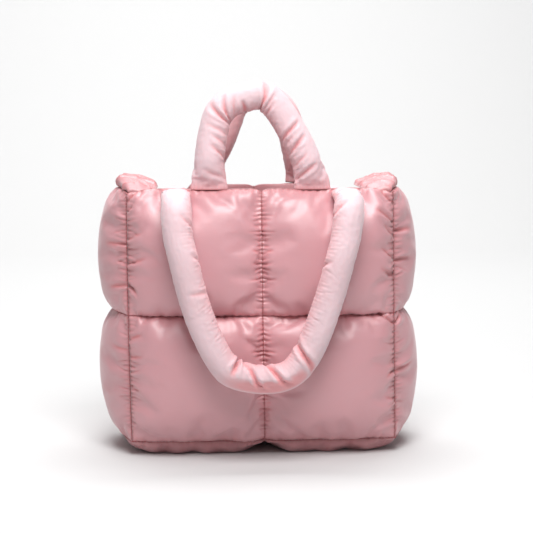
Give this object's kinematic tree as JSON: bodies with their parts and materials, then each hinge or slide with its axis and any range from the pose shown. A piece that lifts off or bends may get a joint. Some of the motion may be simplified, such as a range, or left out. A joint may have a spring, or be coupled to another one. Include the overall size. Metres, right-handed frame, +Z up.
{
  "type": "quilted shoulder bag",
  "caption": "Pale pink quilted puffer tote with padded cushions, short carry handles and long padded shoulder straps, standing open and empty.",
  "frame": {"origin": "on the floor, under the middle of the body", "axes": "+Z up, the front with its hanging strap faces -Y, +X to the right as seen from the front"},
  "size_m": [0.3588, 0.2708, 0.408],
  "materials": {
    "quilted_shell": "satin",
    "bottom_shell": "satin",
    "handle_tube": "satin"
  },
  "bodies": {
    "root": {"front_panel": "quilted_shell", "back_panel": "quilted_shell", "left_gusset": "quilted_shell", "right_gusset": "quilted_shell", "bottom_panel": "bottom_shell", "left_gusset_fold": "bottom_shell", "right_gusset_fold": "bottom_shell", "front_handle": "handle_tube", "back_handle": "handle_tube", "front_strap": "handle_tube", "back_strap": "handle_tube"}
  },
  "joints": []
}
